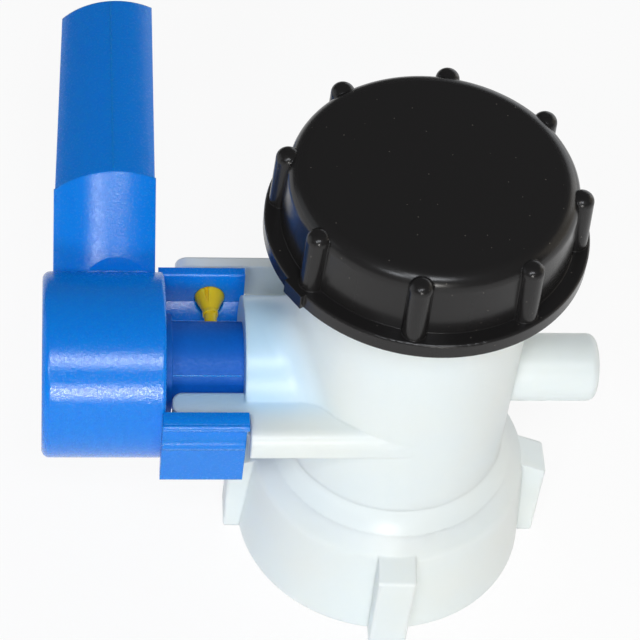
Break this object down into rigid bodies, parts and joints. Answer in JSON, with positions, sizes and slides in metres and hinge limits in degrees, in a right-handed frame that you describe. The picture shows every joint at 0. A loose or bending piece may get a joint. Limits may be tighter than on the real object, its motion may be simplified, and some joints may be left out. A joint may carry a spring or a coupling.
{
  "type": "bulk container valve",
  "caption": "Bulk container butterfly valve standing on its union nut, with a white moulded body, blue lever handle, yellow lock pin and ribbed black screw cap.",
  "frame": {"origin": "centre of the inlet mouth of the union nut, on the flow axis", "axes": "+Z along the flow axis from inlet to outlet cap, -X along the stem to the handle, +Y the way the closed lever points"},
  "size_m": [0.1376, 0.1384, 0.1304],
  "materials": {
    "natural_plastic": "milky natural polyethylene, satin",
    "blue_plastic": "fine grained satin",
    "yellow_plastic": "semi gloss",
    "black_plastic": "satin gloss",
    "seal_rubber": "matte"
  },
  "bodies": {
    "housing": {"valve_body": "natural_plastic", "retaining_clip": "natural_plastic", "inlet_gasket": "seal_rubber"},
    "nut": {"union_nut": "natural_plastic"},
    "spindle": {"drive_stem": "blue_plastic", "stem_ring_outer": "seal_rubber", "stem_ring_inner": "seal_rubber", "trunnion_ring": "seal_rubber", "butterfly_disc": "natural_plastic", "disc_seal": "seal_rubber", "handle": "blue_plastic"},
    "lock": {"lock_pin": "yellow_plastic"},
    "cap_seal": {"cap_gasket": "seal_rubber"},
    "screw_cap": {"cap": "black_plastic"}
  },
  "joints": [
    {"name": "handle_turn", "type": "hinge", "parent": "housing", "child": "spindle", "pos_m": [0, 0, 0.061], "axis": [1, 0, 0], "range_deg": [0, 90]},
    {"name": "lock_pull", "type": "slide", "parent": "spindle", "child": "lock", "axis": [0, 1, 0], "range_m": [0, 0.016]},
    {"name": "nut_swivel", "type": "hinge", "parent": "housing", "child": "nut", "pos_m": [0, 0, 0.017], "axis": [0, 0, 1], "continuous": true},
    {"name": "cap_lift", "type": "slide", "parent": "housing", "child": "cap_seal", "axis": [0, 0, 1], "range_m": [0, 0.0151]},
    {"name": "cap_turn", "type": "hinge", "parent": "cap_seal", "child": "screw_cap", "pos_m": [0, 0, 0.12], "axis": [0, 0, 1], "range_deg": [0, 900]}
  ],
  "couplings": [
    {"joint": "cap_lift", "follows": "cap_turn", "m_per_rad": 0.00095493}
  ]
}
